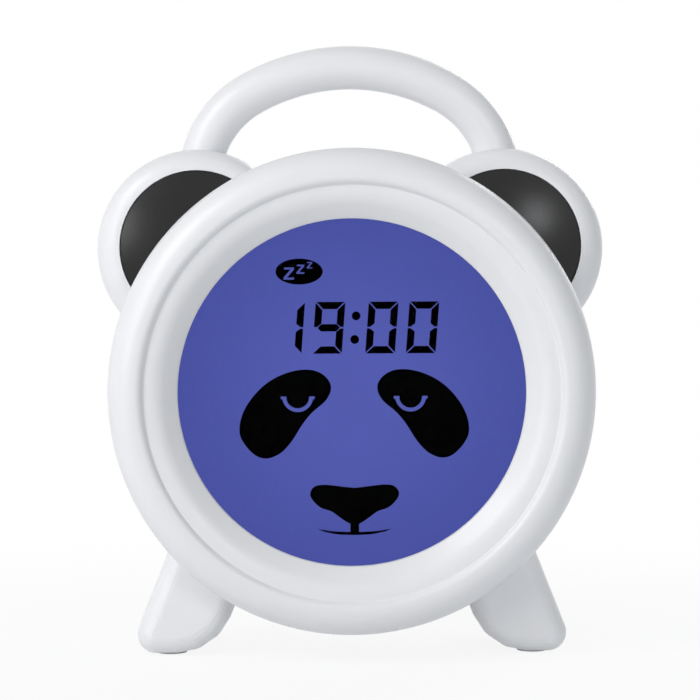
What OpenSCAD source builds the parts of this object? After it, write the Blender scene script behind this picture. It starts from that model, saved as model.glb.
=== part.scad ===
// Kids alarm clock with a night light, in the shape of a panda.
// X is to the right as seen from the front, the front faces -Y and Z is up. The origin is on the
// table under the middle of the body. Most sizes along the depth are given as f, which is -Y:
// a bigger f is nearer to the front.

/* [Body] */
// Outer diameter of the front ring
body_d = 128; // [126:0.5:130]
// Depth from the crest of the front ring to the rim of the back
body_depth = 62; // [60:0.5:66]
// Gap between the body's underside and the table
belly_gap = 7.5; // [6:0.5:9]
// Wall of the plastic shells
wall = 2.2; // [1.8:0.1:2.4]
// Gap between parts that slide or drop into each other
fit_gap = 0.2; // [0.15:0.05:0.3]

/* [Front ring] */
// Depth of the ring from its crest to its back edge
ring_depth = 16; // [15:0.5:17]
// Radius of the outer roll of the ring
roll_r = 7.5; // [7:0.25:8]
// Radius of the small roll between the crest and the crease
crease_roll_r = 2.1; // [1.8:0.1:2.4]
// Radius of the inner roll that leads down to the window
inner_roll_r = 8; // [7:0.5:9]
// Width of the ring, from its outer edge to the window that shows the display
ring_w = 18.4; // [17.5:0.1:20]
// Depth of the window's edge below the crest
window_depth = 5.4; // [5:0.1:6]
// Thickness of the lip that holds the lens
lip_t = 1.2; // [1:0.1:1.4]

/* [Display] */
// Width of the ledge that the lens bears on
lens_ledge = 2.3; // [2:0.1:2.4]
// Thickness of the lens
lens_t = 1.8; // [1.4:0.1:2]
// Thickness of the foam ring behind the lens
gasket_t = 0.6; // [0.4:0.1:0.8]
// Thickness of each sheet of display glass
glass_t = 1.1; // [0.7:0.1:1.1]
// Thickness of the dark segments between the two glasses
segment_t = 0.15; // [0.1:0.05:0.2]
// Thickness of the opal sheet behind the display
diffuser_t = 1.5; // [1:0.1:1.6]
// Height of a digit
digit_h = 13.6; // [12:0.2:14]
// Width of a digit
digit_w = 7.8; // [7:0.1:8]
// Stroke of a digit
digit_stroke = 1.9; // [1.5:0.1:2]

/* [Ears] */
// Distance of an ear's centre inside the ring's outer edge
ear_inset = 8.75; // [8:0.25:9.5]
// Angle of an ear's centre above the horizontal through the body's centre
ear_angle = 42.1; // [41:0.1:43]
// Radius of an ear
ear_r = 26.7; // [26:0.1:27.5]
// Radius of the roll round an ear's edges
ear_roll = 6; // [5.5:0.25:6.5]
// Distance from the ring's back edge to the front of an ear
ear_setback = 6; // [5.5:0.25:6.5]
// Thickness of an ear from front to back
ear_t = 24; // [23.5:0.25:25]
// Radius of the black inlay of an ear
inlay_r = 20.3; // [19.5:0.1:20.5]
// Height of the inlay's centre above the ear's centre
inlay_shift = 0.8; // [0.5:0.1:1.2]
// Rise of the domed inlay
inlay_rise = 3.2; // [2.5:0.1:3.5]
// Thickness of the inlay at its edge
inlay_t = 2; // [1.6:0.1:2.2]

/* [Handle] */
// Radius of the handle's round bar
bar_r = 5.8; // [5:0.1:6]
// Half of the handle's width between bar centres
handle_w = 40.4; // [39:0.1:41]
// Height of the handle's shoulders above the ears' centres
handle_z = 18.1; // [17.5:0.1:19]
// Radius of the handle's side bends
side_bend = 27; // [25:0.5:28]
// Rise of the bar's centre from the shoulders to the top
handle_rise = 30.5; // [30:0.25:32]
// Wall of the two handle halves
handle_wall = 2; // [1.6:0.1:2.2]
// Height above the ears' centres at which the handle's legs end
leg_end = 13; // [12:0.25:13.5]

/* [Feet] */
// Distance from the ring's back edge to the front of the feet
foot_setback = 2; // [1.5:0.25:3]
// Length of a foot from front to back
foot_length = 38; // [36:0.5:40]
// Distance of the outermost point of a foot inside the ring's outer edge
foot_inset = 6.4; // [6:0.1:7]
// Lean of the feet from upright
foot_lean = 21.5; // [20:0.5:23]
// Radius of the curve from the sole to a foot's inner side
foot_curve = 16; // [15:0.5:17]
// Radius of a foot's rounded edges
foot_edge = 5; // [4.5:0.25:5.5]
// Width of the flat of a sole
sole_w = 5.3; // [4.5:0.1:6]
// Radius of the rubber pads under the feet
pad_r = 4; // [3.6:0.1:4.2]
// Thickness of the rubber pads
pad_t = 1.4; // [1.2:0.1:1.5]
// Height that the pads stand out of the soles
pad_out = 0.5; // [0.4:0.1:0.8]

/* [Back] */
// Depth of the front half of the housing behind the ring
front_half = 19; // [18:0.5:20]
// Radius of the roll round the back
back_roll = 14; // [12:0.5:15]
// Radius of the shallow recess in the back
recess_r = 47.5; // [47.5:0.25:48.5]
// Depth of the recess
recess_depth = 1.5; // [1.3:0.1:1.6]

/* [Battery bay] */
// Diameter of an AA cell
cell_d = 14.5; // [14:0.1:14.5]
// Length of an AA cell over its button
cell_l = 50.5; // [49.5:0.1:50.5]
// Room for the spring and the contacts at the ends of a cell
spring_room = 6; // [5.5:0.25:6.5]
// Spacing of the cells
cell_pitch = 15.1; // [14.8:0.1:15.2]
// Height of the bay's lower edge below the body's centre
bay_drop = 38; // [37.5:0.25:38.5]
// Wall of the bay
bay_wall = 1.8; // [1.5:0.1:2]
// Gap round the battery door
door_gap = 0.35; // [0.3:0.05:0.5]
// Width of the screw tab on top of the door
tab_w = 10; // [9:0.25:10]
// Length of the screw tab
tab_l = 8; // [7.5:0.25:8]

/* [Keys] */
// Radius of a key
key_r = 4.2; // [3.8:0.1:4.3]
// Spacing of the keys from the middle key
key_pitch = 11; // [10.75:0.25:11.25]
// Travel of a key
key_travel = 0.8; // [0.6:0.1:0.9]
// Height of a key above the floor of the recess
key_out = 1.3; // [1.1:0.1:1.4]
// Length of the lock switch's knob
knob_l = 4.4; // [4:0.2:5]
// Travel of the lock switch
knob_travel = 3; // [2.5:0.25:3.5]

/* [Speaker] */
// Radius of the speaker's frame
speaker_r = 14; // [13:0.25:14.5]
// Radius of one hole of the grille
grille_r = 0.9; // [0.7:0.05:1]
// Spacing of the rings of grille holes
grille_pitch = 3.2; // [3:0.1:3.5]

/* [Screws] */
// Radius of the screws' shanks
screw_r = 1.25; // [1.1:0.05:1.3]
// Radius of the screws' heads
head_r = 2.4; // [2.2:0.1:2.5]
// Height of the screws' heads
head_h = 1.7; // [1.5:0.1:1.8]

/* [Hidden] */
$fn = 96;

shell_white = [0.93, 0.94, 0.95];
key_grey = [0.62, 0.64, 0.68];
board_green = [0.1, 0.36, 0.2];
steel = [0.74, 0.75, 0.77];
glow = [0.32, 0.35, 0.67];
ink = [0.02, 0.02, 0.03];

// Places along the depth
body_r = body_d / 2;
body_z = body_r + belly_gap;
f_front = body_depth / 2;
f_back = -body_depth / 2;
f_seam = f_front - ring_depth;
f_part = f_seam - front_half;
f_floor = f_back + recess_depth;
f_panel = f_floor + wall;

// The ring's section, as distance from the axis
crest_r = body_r - roll_r;
crease_r = crest_r - crease_roll_r;
inner_roll_c = crease_r - 0.7;
inner_roll_top = f_front - 1.4;
window_r = body_r - ring_w;
f_window = f_front - window_depth;
skirt_r = body_r - wall;
spigot_t = 1.6;
spigot_r = skirt_r - fit_gap;
drum_r = body_r - 0.6;
drum_in = drum_r - wall;

// The stack behind the window
lens_r = window_r + lens_ledge;
f_lens = f_window - lip_t;
f_lens_back = f_lens - lens_t;
f_glass = f_lens_back - gasket_t;
f_cell = f_glass - glass_t;
f_cell_back = f_cell - segment_t;
f_glass_back = f_cell_back - glass_t;
f_diffuser = f_glass_back - diffuser_t;
glass_in = window_r + 2;
glass_corner = glass_in / cos(22.5);
frame_in = glass_corner + 0.4;
frame_r = frame_in + 1.9;
cup_in = window_r + 0.2;
cup_r = cup_in + 1.6;
cup_floor_t = 1.8;
flange_t = 1.8;
web_t = 2;
web_in = cup_r + 0.4;
f_web = f_seam - web_t;

// Screws, bosses and their circles
pilot_r = screw_r + 0.05;
clear_r = screw_r + 0.4;
boss_r = screw_r + 1.3;
ring_screw_r = (frame_r + spigot_r - spigot_t) / 2;
ring_screw_angles = [0 : 60 : 300];
ring_screw_l = 10;
box_screw_angles = [90, 210, 330];
box_screw_l = 8;
board_screw_angles = [15, 165, 195, 345];
board_screw_l = 7;
standoff_r = web_in + 0.4 + boss_r;
low_screw = on_circle(drum_in - 7.4, -48);
seat = f_part - 7.2;
housing_screw_l = 16;

// Main board
board_t = 1.6;
board_r = cup_r - 2;

// Ears
f_ear = f_seam - ear_setback;
f_ear_back = f_ear - ear_t;
ear_x = (body_r - ear_inset) * cos(ear_angle);
ear_z = (body_r - ear_inset) * sin(ear_angle);
inlay_z = ear_z + inlay_shift;
f_inlay = f_ear - 0.4;
f_inlay_floor = f_inlay - inlay_t;
inlay_pin = [ear_x + 11, ear_z + 12];
inlay_pin_r = 1.5;

// Handle: a three-centred arch
shoulder_z = ear_z + handle_z;
leg_z = ear_z + leg_end;
leg_screw_z = leg_z + 6;
top_bend = (pow(handle_w - side_bend, 2) + handle_rise * handle_rise - side_bend * side_bend)
    / (2 * (handle_rise - side_bend));
top_angle = atan2(handle_w - side_bend, top_bend - handle_rise);
leg_hole_gap = 0.15;

// Feet, drawn by the centres of their rounded edges: [x, height above the sole]
sole_z = pad_out;
f_foot = f_seam - foot_setback;
f_heel = f_foot - foot_length;
foot_wall = wall;
foot_top = 34.6;
foot_corner = [body_r - foot_inset - foot_edge, foot_edge];
foot_bend = [foot_corner[0] - sole_w, foot_curve];
foot_curl = [for (a = [270, 247, 224, 180 + foot_lean])
    foot_bend + on_circle(foot_curve - foot_edge, a)];

function lean_up(p) = [p[0] - (foot_top - p[1]) * tan(foot_lean), foot_top];

foot_line = concat([lean_up(foot_corner), foot_corner], foot_curl, [lean_up(foot_curl[3])]);
foot_screw_angle = 55;
foot_screw_f = [f_foot - 6, f_part + 3];
foot_screw_seat = drum_in + 0.3;
foot_screw_l = 11;
foot_boss_end = (body_z - sole_z - foot_wall / 2) / sin(foot_screw_angle);
pad_x = foot_bend[0] + 1.3;
pad_in = 9.5;

// Battery bay
cells = 3;
bay_bottom = -bay_drop;
bay_h = cells * cell_pitch + 0.5;
bay_top = bay_bottom + bay_h;
cell_gap = 0.4;
f_cells = f_panel + cell_gap + cell_d / 2;
f_bay_floor = f_cells + cell_d / 2 + cell_gap;
bay_l = cell_l + spring_room;
contact_t = 0.4;
hook_w = 8;
hook_l = 2.4;
hook_t = 1.2;
hook_x = 16;
tab_z = bay_top + tab_l / 2 + 0.4;
door_screw_l = 5;
door_boss_r = 3.6;

// Main board, with room for the leads behind it and for its parts in front of it
lead_room = 4.4;
part_room = 7.4;
f_board = f_bay_floor + bay_wall + lead_room;
f_cup = f_board + board_t + part_room;

// Keys: a cross of four round a middle one
keys_at = [20.5, 26.5];
key_flange_r = key_r + 0.7;
key_flange_t = 1;
key_hole_r = key_r + fit_gap;
f_key_flange = f_panel + fit_gap;
f_stem = f_key_flange + key_flange_t;
stem_l = 1.5;
plunger_r = 1.6;
plunger_l = 1.7;
f_plunger = f_stem + stem_l;
f_tact = f_plunger + key_travel + 0.25;
tact_h = 3.5;
tact_w = 6;
f_key_board = f_tact + tact_h;
knob_at = [3, 41];
knob_w = 2.4;
switch_l = 9;
switch_w = 4.4;
usb_at = [39.5, 0];
usb_w = 3.2;
usb_h = 8.2;
key_board_screws_at = [[13.2, 35.2], [38.5, 15], [8.4, 14.5]];

// Speaker
speaker_at = [-20.5, 26.5];
speaker_depth = 6.6;
magnet_r = 8.5;
magnet_t = 4;
clamp_t = 1.5;
f_frame_back = f_panel + 0.4;
f_clamp = f_frame_back + speaker_depth;
clamp_screws_at = [[-34.3, 36.8], [-6.7, 16.2]];

// --- placing helpers ---------------------------------------------------------------------

// A cylinder along the depth, from f0 to f1
module rod(at, f0, f1, r) {
    translate([at[0], -f0, body_z + at[1]]) rotate([90, 0, 0]) cylinder(h = f1 - f0, r = r);
}

// A flat drawing in X and Z round the body's centre, given a thickness from f0 to f1
module plate(f0, f1) {
    translate([0, -f0, body_z]) rotate([90, 0, 0]) linear_extrude(f1 - f0) children();
}

// A section (distance from the axis, f) turned about an axis along the depth
module turned(at = [0, 0]) {
    translate([at[0], 0, body_z + at[1]]) rotate([90, 0, 0]) rotate_extrude() children();
}

// A rectangle between two corners
module span(x0, x1, y0, y1) {
    translate([x0, y0]) square([x1 - x0, y1 - y0]);
}

// A box between limits in X, in Z above the body's centre and in f
module block(x0, x1, z0, z1, f0, f1) {
    translate([x0, -f1, body_z + z0]) cube([x1 - x0, f1 - f0, z1 - z0]);
}

module both_sides() {
    children();
    mirror([1, 0, 0]) children();
}

function on_circle(r, a) = [r * cos(a), r * sin(a)];

function side_of(i) = i == 0 ? 1 : -1;

// A pan-head screw with a cross recess, its shank upwards from the origin
module screw_solid(length) {
    difference() {
        union() {
            translate([0, 0, -head_h]) cylinder(h = head_h, r = head_r);
            cylinder(h = length, r = screw_r);
        }
        for (turn = [0, 90])
            translate([0, 0, -head_h]) rotate(turn) cube([head_r * 1.3, 0.6, 1.6], center = true);
    }
}

// A screw whose shank runs from the seat along the depth, towards the front when dir is 1
// and towards the back when dir is -1
module screw(at, seat, length, dir = 1) {
    translate([at[0], -seat, body_z + at[1]]) rotate([dir * 90, 0, 0]) screw_solid(length);
}

// Points of a smooth line through hand-set points
function smooth(p, steps = 4) = [
    for (i = [0 : len(p) - 2], k = [0 : steps - 1])
        let (t = k / steps, a = p[max(i - 1, 0)], b = p[i], c = p[i + 1],
             d = p[min(i + 2, len(p) - 1)])
        0.5 * (2 * b + t * (c - a) + t * t * (2 * a - 5 * b + 4 * c - d)
            + t * t * t * (3 * b - a - 3 * c + d)),
    p[len(p) - 1]
];

function unit(v) = v / norm(v);

function heading(p, i) = unit(p[min(i + 1, len(p) - 1)] - p[max(i - 1, 0)]);

// A round wire swept along a line of points
module wire(p, r, sides = 8, ref = [0.31, 0.17, 0.94]) {
    points = [
        for (i = [0 : len(p) - 1])
            let (t = heading(p, i), u = unit(cross(t, ref)), v = cross(t, u))
            for (k = [0 : sides - 1])
                p[i] + r * (cos(360 * k / sides) * u + sin(360 * k / sides) * v)
    ];
    last = (len(p) - 1) * sides;
    faces = concat(
        [[for (k = [0 : sides - 1]) k]],
        [[for (k = [sides - 1 : -1 : 0]) last + k]],
        [
            for (i = [0 : len(p) - 2], k = [0 : sides - 1])
                let (a = i * sides, b = a + sides, n = (k + 1) % sides)
                each [[a + k, b + k, a + n], [a + n, b + k, b + n]]
        ]
    );
    polyhedron(points = points, faces = faces, convexity = 6);
}

// A point given as X, height above the body's centre, and f
function at_f(p) = [p[0], -p[2], body_z + p[1]];

// A smooth closed outline through hand-set points
function loop(p, steps = 3) = let (n = len(p)) [
    for (i = [0 : n - 1], k = [0 : steps - 1])
        let (t = k / steps, a = p[(i + n - 1) % n], b = p[i], c = p[(i + 1) % n], d = p[(i + 2) % n])
        0.5 * (2 * b + t * (c - a) + t * t * (2 * a - 5 * b + 4 * c - d)
            + t * t * t * (3 * b - a - 3 * c + d))
];

// --- front ring and window -----------------------------------------------------------------

roll_tilt = 35;
cone_start = [inner_roll_c - inner_roll_r * sin(roll_tilt),
              inner_roll_top - inner_roll_r * (1 - cos(roll_tilt))];
inner_wall_r = lens_r + fit_gap;
inner_wall_t = 2.3;

module ring_section() {
    intersection() {
        translate([crest_r, f_front - roll_r]) circle(roll_r);
        span(crest_r, body_r + 1, f_seam, f_front + 1);
    }
    translate([crest_r, f_front - crease_roll_r]) circle(crease_roll_r);
    span(crease_r, crest_r, f_seam, f_front - crease_roll_r);
    span(inner_wall_r, body_r, f_seam, f_front - roll_r);
    intersection() {
        translate([inner_roll_c, inner_roll_top - inner_roll_r]) circle(inner_roll_r);
        span(cone_start[0], crease_r + 0.01, f_seam, f_front);
    }
    polygon([cone_start, [window_r, f_window], [window_r, f_lens], [inner_wall_r, f_lens - 2],
             [inner_wall_r, f_seam], [cone_start[0], f_seam]]);
}

module ring_hollow() {
    difference() {
        union() {
            translate([crest_r, f_front - roll_r]) circle(roll_r - wall);
            span(0, skirt_r, f_seam - 1, f_front - roll_r);
            translate([inner_roll_c, inner_roll_top - inner_roll_r])
                circle(inner_roll_r - wall);
        }
        span(0, inner_wall_r + inner_wall_t, f_glass + 0.1, f_front);
    }
    span(0, inner_wall_r, f_seam - 1, f_lens);
}

module ring_boss(a) {
    rod(on_circle(ring_screw_r, a), f_seam, f_front - 1.8, boss_r);
}

module front_ring() {
    color(shell_white) difference() {
        union() {
            turned() difference() {
                ring_section();
                ring_hollow();
            }
            for (a = ring_screw_angles) ring_boss(a);
        }
        for (a = ring_screw_angles)
            rod(on_circle(ring_screw_r, a), f_seam - 1, f_seam + ring_screw_l, pilot_r);
    }
}

module lens() {
    color([0.75, 0.8, 0.95, 0.35]) rod([0, 0], f_lens_back, f_lens, lens_r);
}

module lens_gasket() {
    color("dimgray") difference() {
        rod([0, 0], f_glass, f_lens_back, lens_r);
        rod([0, 0], f_glass - 1, f_lens_back + 1, window_r + 0.6);
    }
}

// --- display ----------------------------------------------------------------------------

module glass_outline() {
    circle(r = glass_corner, $fn = 8);
}

ledge_w = 28;
ledge_drop = 3;

module lcd_front_glass() {
    color([0.8, 0.85, 1, 0.3]) plate(f_cell, f_glass) rotate(22.5) glass_outline();
}

module lcd_rear_glass() {
    color([0.8, 0.85, 1, 0.3]) plate(f_glass_back, f_cell_back) {
        rotate(22.5) glass_outline();
        span(-ledge_w / 2, ledge_w / 2, -glass_in - ledge_drop, -glass_in + 1);
    }
}

// One bar of a seven-segment digit, lying along X, with mitred ends
module digit_bar(length) {
    h = digit_stroke;
    polygon([[0, 0], [length, 0], [length - h, -h], [h, -h]]);
}

// The seven bars are numbered top, upper right, lower right, bottom, lower left, upper left, middle
module digit(bars) {
    slit = 0.22;
    half = digit_h / 2;
    slant = 0.075;
    multmatrix([[1, slant, 0, 0], [0, 1, 0, 0], [0, 0, 1, 0], [0, 0, 0, 1]])
        translate([-digit_w / 2, -half]) {
            for (b = bars) {
                if (b == 0) translate([slit, digit_h]) digit_bar(digit_w - 2 * slit);
                if (b == 3) mirror([0, 1]) translate([slit, 0]) digit_bar(digit_w - 2 * slit);
                if (b == 1) side_bar(digit_w, digit_h - slit, half + slit, -1);
                if (b == 2) side_bar(digit_w, slit, half - slit, -1);
                if (b == 4) side_bar(0, slit, half - slit, 1);
                if (b == 5) side_bar(0, digit_h - slit, half + slit, 1);
                if (b == 6) middle_bar(half, slit);
            }
        }
}

// An upright bar from its mitred outer end to its end at the digit's waist
module side_bar(x, z_end, z_waist, inward) {
    s = digit_stroke;
    up = z_end > z_waist ? -1 : 1;
    polygon([[x, z_end], [x + inward * s, z_end + up * s],
             [x + inward * s, z_waist - up * s * 0.45], [x + inward * s * 0.4, z_waist],
             [x, z_waist]]);
}

module middle_bar(z, slit) {
    s = digit_stroke / 2;
    polygon([[s, z], [2 * s, z + s], [digit_w - 2 * s, z + s], [digit_w - s, z],
             [digit_w - 2 * s, z - s], [2 * s, z - s]]);
}

digits_z = 17.6;
digit_places = [[-17.2, [1, 2]], [-6.6, [0, 1, 2, 3, 5, 6]], [7.35, [0, 1, 2, 3, 4, 5]],
                [18.05, [0, 1, 2, 3, 4, 5]]];
colon_r = 1.15;

module time_figures() {
    for (d = digit_places) translate([d[0], digits_z]) digit(d[1]);
    for (side = [-1, 1]) translate([0.4 + side * 0.2, digits_z + side * 3.1]) circle(colon_r);
}

sleep_at = [-14.3, 32.4];
sleep_size = [6.2, 3.4];

module letter_z(h) {
    w = h * 0.86;
    t = h * 0.17;
    span(0.05 * h, w, h - t, h);
    span(0, w, 0, t);
    polygon([[0, t], [w - t * 1.7, h - t], [w, h - t], [t * 1.7, t]]);
}

// The sign for sleep: a filled oval with three rising letters cut out
module sleep_sign() {
    difference() {
        translate(sleep_at) polygon([for (a = [0 : 7.5 : 352.5])
            [sleep_size[0] * cos(a), sleep_size[1] * sin(a)]]);
        translate(sleep_at + [-4.1, -2.1]) letter_z(3.2);
        translate(sleep_at + [-0.7, -0.6]) letter_z(2.4);
        translate(sleep_at + [2, 0.8]) letter_z(1.7);
    }
}

// The right-hand eye patch, a bean that leans outwards
eye_patch = [[6.1, 1.3], [6.6, 3.6], [8.6, 5.6], [11.7, 6.6], [15.8, 6.3], [20.3, 4.7], [24.3, 2],
             [27.7, -1.9], [29.7, -5.9], [30.2, -10], [28.8, -13.1], [26.1, -15.9],
             [23.2, -16.8], [20.3, -15.9], [18.2, -14.3], [16, -11.6], [13.9, -8.2],
             [11.2, -4.8], [7.5, -1.6]];
lid_at = [14.85, -0.5];
lid_r = [4.06, 3.06];

// A patch with the closed lid cut out as a thin U
module eye() {
    difference() {
        polygon(loop(eye_patch));
        translate(lid_at) {
            difference() {
                circle(lid_r[0]);
                circle(lid_r[1]);
                span(-lid_r[0] - 1, lid_r[0] + 1, -0.4, lid_r[0] + 1);
            }
            for (side = [-1, 1])
                translate([side * (lid_r[0] + lid_r[1] + 0.3) / 2, -0.3])
                    square([1.5, 0.7], center = true);
        }
    }
}

// Right half of the nose, the stem below it and the thin smile, from the top to the bottom
stem_w = 2.3;
muzzle_half = concat(
    smooth([[0, -24.7], [4.1, -24.2], [8, -23.8], [10.6, -24.3], [11.7, -26], [11.1, -27.8],
            [8.9, -29.9], [6.2, -30.8], [4.4, -32.1], [2.4, -33.5], [stem_w / 2, -34.2]], 3),
    smooth([[stem_w / 2, -36.35], [5.6, -36.15], [9.8, -35.5]], 4),
    smooth([[8, -36.25], [4.5, -36.95], [0, -37.15]], 4)
);

module muzzle() {
    n = len(muzzle_half);
    polygon(concat(muzzle_half, [
        for (i = [n - 2 : -1 : 1]) [-muzzle_half[i][0], muzzle_half[i][1]]
    ]));
}

// Middle of the drawings, from the middle of the window
art_at = [0.6, -0.75];

module lcd_segments() {
    color(ink) plate(f_cell_back, f_cell) translate(art_at) {
        time_figures();
        sleep_sign();
        eye();
        mirror([1, 0]) eye();
        muzzle();
    }
}

// --- light engine -------------------------------------------------------------------------

ribbon_w = 24;
ribbon_t = 0.3;
ribbon_z = -glass_in - ledge_drop - 0.8;
slot_w = ledge_w + 2;

module diffuser() {
    color(glow) rod([0, 0], f_diffuser, f_glass_back, cup_r - 0.3);
}

module light_box() {
    color("white") difference() {
        union() {
            rod([0, 0], f_cup, f_seam + 1, cup_r);
            rod([0, 0], f_seam, f_glass - 0.1, frame_r);
            plate(f_seam, f_seam + flange_t) for (a = box_screw_angles) rotate(a) {
                translate([ring_screw_r, 0]) circle(boss_r);
                span(frame_in, ring_screw_r, 0.5 - boss_r, boss_r - 0.5);
            }
        }
        rod([0, 0], f_diffuser, f_front, frame_in);
        difference() {
            rod([0, 0], f_seam + flange_t, f_front, frame_in);
            rod([0, 0], f_seam, f_front + 1, cup_r);
        }
        rod([0, 0], f_cup + cup_floor_t, f_front, cup_in);
        for (a = box_screw_angles)
            rod(on_circle(ring_screw_r, a), f_seam - 1, f_seam + flange_t + 1, clear_r);
        block(-slot_w / 2, slot_w / 2, -frame_r - 1, -cup_r - 0.6, f_seam - 1, f_front);
        rod([0, -30], f_cup - 1, f_cup + cup_floor_t + 1, 3);
    }
}

light_board_r = cup_in - 1.5;
f_light_board = f_cup + cup_floor_t;
led_w = 3.5;
led_h = 1.6;

module light_board() {
    color("white") difference() {
        rod([0, 0], f_light_board, f_light_board + board_t, light_board_r);
        rod([0, -30], f_light_board - 1, f_light_board + board_t + 1, 2);
    }
}

module night_light_leds() {
    top = f_light_board + board_t;
    color("lightyellow")
        for (ring = [[1, 0], [6, 16], [10, 32]], i = [0 : ring[0] - 1]) {
            at = on_circle(ring[1], 360 * i / ring[0] + 90);
            block(at[0] - led_w / 2, at[0] + led_w / 2, at[1] - led_w / 2, at[1] + led_w / 2,
                  top, top + led_h);
        }
}

module light_box_screws() {
    color(steel) for (a = box_screw_angles)
        screw(on_circle(ring_screw_r, a), f_seam + flange_t, box_screw_l, -1);
}

// --- ears, shared by both halves of the housing ------------------------------------------------

// An ear's section, grown or shrunk by g
module ear_section(g = 0) {
    r = ear_roll + g;
    edge = ear_r - ear_roll;
    translate([edge, f_ear - ear_roll]) circle(r);
    translate([edge, f_ear_back + ear_roll]) circle(r);
    span(0, edge, f_ear_back - g, f_ear + g);
    span(0, ear_r + g, f_ear_back + ear_roll, f_ear - ear_roll);
}

module half_space(f0, f1) {
    translate([-body_r - 20, -f1, -1]) cube([body_d + 40, f1 - f0, body_z * 3]);
}

// The ears' share of one half of the housing, between f0 and f1
module ears(f0, f1) {
    intersection() {
        for (i = [0, 1]) turned([side_of(i) * ear_x, ear_z]) ear_section();
        half_space(f0, f1);
    }
}

// The hollow inside the ears
module ear_hollows(f0, f1) {
    intersection() {
        for (i = [0, 1]) turned([side_of(i) * ear_x, ear_z]) ear_hollow_section();
        half_space(f0, f1);
    }
}

f_ear_in = f_inlay_floor - wall;

module ear_hollow_section() {
    intersection() {
        ear_section(-wall);
        span(0, ear_r, f_ear_back, f_ear_in);
    }
}

// The line of a leg, from below its end to above the ear
leg_line = concat([[handle_w, leg_z - 1]], [
    for (a = [0 : 5 : 25])
        [handle_w - side_bend + side_bend * cos(a), shoulder_z + side_bend * sin(a)]
]);

// The holes for the handle's legs, which follow the bend of the bar
module leg_bores() {
    for (i = [0, 1])
        wire([for (p = leg_line) [side_of(i) * p[0], -f_part, body_z + p[1]]],
             bar_r + leg_hole_gap, 24, [0, 1, 0]);
}

// --- housing ------------------------------------------------------------------------------

tongue_l = 1.4;

module front_drum_section() {
    span(drum_in, drum_r, f_part, f_seam);
    span(web_in, drum_r, f_web, f_seam);
    span(spigot_r - spigot_t, spigot_r, f_seam - 0.01, f_seam + 3);
    span(drum_in, drum_in + wall / 2 - 0.1, f_part - tongue_l, f_part);
}

// A pocket for the black inlay, only outside the drum
module inlay_pocket(x, r, f0, f1) {
    difference() {
        rod([x, inlay_z], f0, f1, r);
        rod([0, 0], f0 - 1, f1 + 1, drum_r);
    }
}

module front_housing() {
    color(shell_white) difference() {
        union() {
            turned() front_drum_section();
            difference() {
                ears(f_part, f_front);
                rod([0, 0], f_part - 1, f_front, drum_r - wall / 2);
                ear_hollows(f_part - 1, f_front);
            }
            for (i = [0, 1]) {
                rod([side_of(i) * low_screw[0], low_screw[1]], f_part, f_seam - web_t / 2,
                    boss_r + 0.6);
                rod([side_of(i) * handle_w, leg_screw_z], f_part + bar_r - 1.5, f_ear_in + wall / 2,
                    boss_r + 0.6);
            }
            for (a = box_screw_angles)
                rod(on_circle(ring_screw_r, a), f_seam - box_screw_l - 1, f_web, boss_r);
            for (a = board_screw_angles)
                rod(on_circle(standoff_r, a), f_board + board_t, f_web + 0.5, boss_r);
        }
        // the drum's wall opens into the hollow of each ear
        intersection() {
            ear_hollows(f_part - 5, f_seam);
            turned() span(drum_in - 3, drum_r + 1, f_part - 5, f_web);
        }
        for (a = ring_screw_angles)
            rod(on_circle(ring_screw_r, a), f_web - 1, f_seam + 1, clear_r);
        for (a = box_screw_angles)
            rod(on_circle(ring_screw_r, a), f_seam - box_screw_l, f_seam + 1, pilot_r);
        for (a = board_screw_angles)
            rod(on_circle(standoff_r, a), f_board, f_board + board_screw_l + 0.5, pilot_r);
        for (i = [0, 1]) {
            x = side_of(i);
            inlay_pocket(x * ear_x, inlay_r + fit_gap, f_inlay_floor, f_front);
            rod([x * inlay_pin[0], inlay_pin[1]], f_part, f_front, inlay_pin_r + fit_gap);
            rod([x * low_screw[0], low_screw[1]], f_part - 1, seat + housing_screw_l + 1, pilot_r);
            rod([x * handle_w, leg_screw_z], f_part - 1, seat + housing_screw_l + 1, pilot_r);
        }
        leg_bores();
        both_sides() for (f = foot_screw_f) spoke(f) {
            translate([0, 0, drum_in - 3]) cylinder(h = foot_screw_seat - drum_in + 3, r = head_r + 0.3);
            translate([0, 0, drum_in - 1]) cylinder(h = wall + 2, r = clear_r);
        }
        block(-slot_w / 2, slot_w / 2, -frame_r, -cup_r + 4, f_web - 1, f_seam + 1);
    }
}

module rear_drum_section(g = 0) {
    c = [drum_r - back_roll, f_back + back_roll];
    translate(c) intersection() {
        circle(back_roll - g);
        span(0, back_roll, -back_roll, 0);
    }
    span(0, c[0], f_back + g, c[1]);
    span(0, drum_r - g, c[1], f_part);
}

module bay_outline(g = 0) {
    span(-bay_l / 2 - g, bay_l / 2 + g, bay_bottom - g, bay_top + g);
}

module door_outline(g = 0) {
    span(-bay_l / 2 - g, bay_l / 2 + g, bay_bottom - g, bay_top + g);
    span(-tab_w / 2 - g, tab_w / 2 + g, bay_top - 3, bay_top + tab_l + g);
}

module grille_holes() {
    for (ring = [0 : 3], i = [0 : max(6 * ring, 1) - 1])
        rod(speaker_at + on_circle(ring * grille_pitch, 360 * i / max(6 * ring, 1)),
            f_back - 1, f_panel + 1, grille_r);
}

module key_holes() {
    for (k = key_places) rod(keys_at + k, f_back - 1, f_panel + 1, key_hole_r);
}

key_places = [[0, 0], [0, key_pitch], [0, -key_pitch], [-key_pitch, 0], [key_pitch, 0]];

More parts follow.
